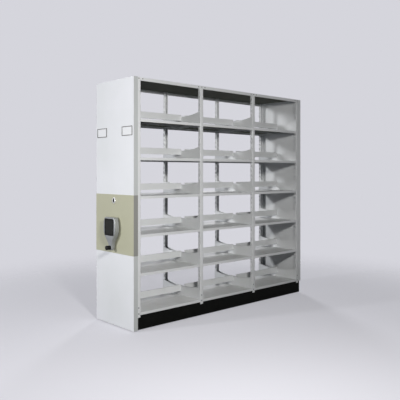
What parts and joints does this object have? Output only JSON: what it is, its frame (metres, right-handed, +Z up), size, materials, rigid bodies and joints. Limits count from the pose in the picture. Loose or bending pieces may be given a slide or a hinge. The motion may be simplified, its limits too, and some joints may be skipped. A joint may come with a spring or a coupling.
{
  "type": "sliding double bookcase",
  "caption": "Crank-driven mobile shelving carriage: double-sided open bays of hung shelves between slotted uprights, closed end panels and a wheeled base frame.",
  "frame": {"origin": "centre of the footprint at the level of the wheel treads, measured over the crank too", "axes": "+X along the bays, from the crank end panel to the far end panel; +Y across the depth, which is the way the carriage travels; +Z up"},
  "size_m": [2.4798, 0.6336, 2.29],
  "materials": {
    "enamel": "semi-gloss light grey stove enamel on sheet steel",
    "khaki_enamel": "satin khaki stove enamel",
    "black_paint": "satin black paint on welded steel",
    "silver_casting": "painted silver-grey die casting",
    "black_plastic": "moulded black",
    "steel": "turned bright steel",
    "chrome": "polished plate",
    "label_frame": "dark pressed steel frame"
  },
  "bodies": {
    "carriage": {"upright_near_1": "enamel", "upright_far_1": "enamel", "upright_near_2": "enamel", "upright_far_2": "enamel", "upright_near_3": "enamel", "upright_far_3": "enamel", "upright_near_4": "enamel", "upright_far_4": "enamel", "shelf_1_1": "enamel", "centre_stop_1_1": "enamel", "shelf_1_2": "enamel", "centre_stop_1_2": "enamel", "shelf_1_3": "enamel", "centre_stop_1_3": "enamel", "shelf_1_4": "enamel", "centre_stop_1_4": "enamel", "shelf_1_5": "enamel", "centre_stop_1_5": "enamel", "shelf_1_6": "enamel", "centre_stop_1_6": "enamel", "shelf_2_1": "enamel", "centre_stop_2_1": "enamel", "shelf_2_2": "enamel", "centre_stop_2_2": "enamel", "shelf_2_3": "enamel", "centre_stop_2_3": "enamel", "shelf_2_4": "enamel", "centre_stop_2_4": "enamel", "shelf_2_5": "enamel", "centre_stop_2_5": "enamel", "shelf_2_6": "enamel", "centre_stop_2_6": "enamel", "shelf_3_1": "enamel", "centre_stop_3_1": "enamel", "shelf_3_2": "enamel", "centre_stop_3_2": "enamel", "shelf_3_3": "enamel", "centre_stop_3_3": "enamel", "shelf_3_4": "enamel", "centre_stop_3_4": "enamel", "shelf_3_5": "enamel", "centre_stop_3_5": "enamel", "shelf_3_6": "enamel", "centre_stop_3_6": "enamel", "top_panel": "enamel", "end_panel": "enamel", "far_end_panel": "enamel", "control_panel": "khaki_enamel", "label_holder_near": "label_frame", "label_holder_far": "label_frame", "lock_body": "chrome", "drive_chain": "steel", "carriage_frame": "black_paint"},
    "drive_wheels": {"drive_axle": "steel"},
    "idle_wheels": {"idle_axle": "steel"},
    "crank": {"crank_shaft": "steel", "crank_arm": "silver_casting", "crank_cover": "black_plastic"},
    "knob": {"crank_knob": "black_plastic"},
    "lock": {"lock_plug": "black_plastic"}
  },
  "joints": [
    {"name": "drive_spin", "type": "hinge", "parent": "carriage", "child": "drive_wheels", "pos_m": [0.04455, -0.17, 0.04875], "axis": [1, 0, 0], "continuous": true},
    {"name": "idle_spin", "type": "hinge", "parent": "carriage", "child": "idle_wheels", "pos_m": [0.04455, 0.17, 0.04875], "axis": [1, 0, 0], "continuous": true},
    {"name": "crank_spin", "type": "hinge", "parent": "carriage", "child": "crank", "pos_m": [-1.15075, 0, 0.923], "axis": [1, 0, 0], "continuous": true},
    {"name": "knob_spin", "type": "hinge", "parent": "crank", "child": "knob", "pos_m": [-1.21855, 0, 0.733], "axis": [1, 0, 0], "continuous": true},
    {"name": "lock_turn", "type": "hinge", "parent": "carriage", "child": "lock", "pos_m": [-1.15075, 0, 1.169], "axis": [1, 0, 0], "range_deg": [0, 90]}
  ],
  "couplings": [
    {"joint": "crank_spin", "follows": "drive_spin", "ratio": 2}
  ]
}
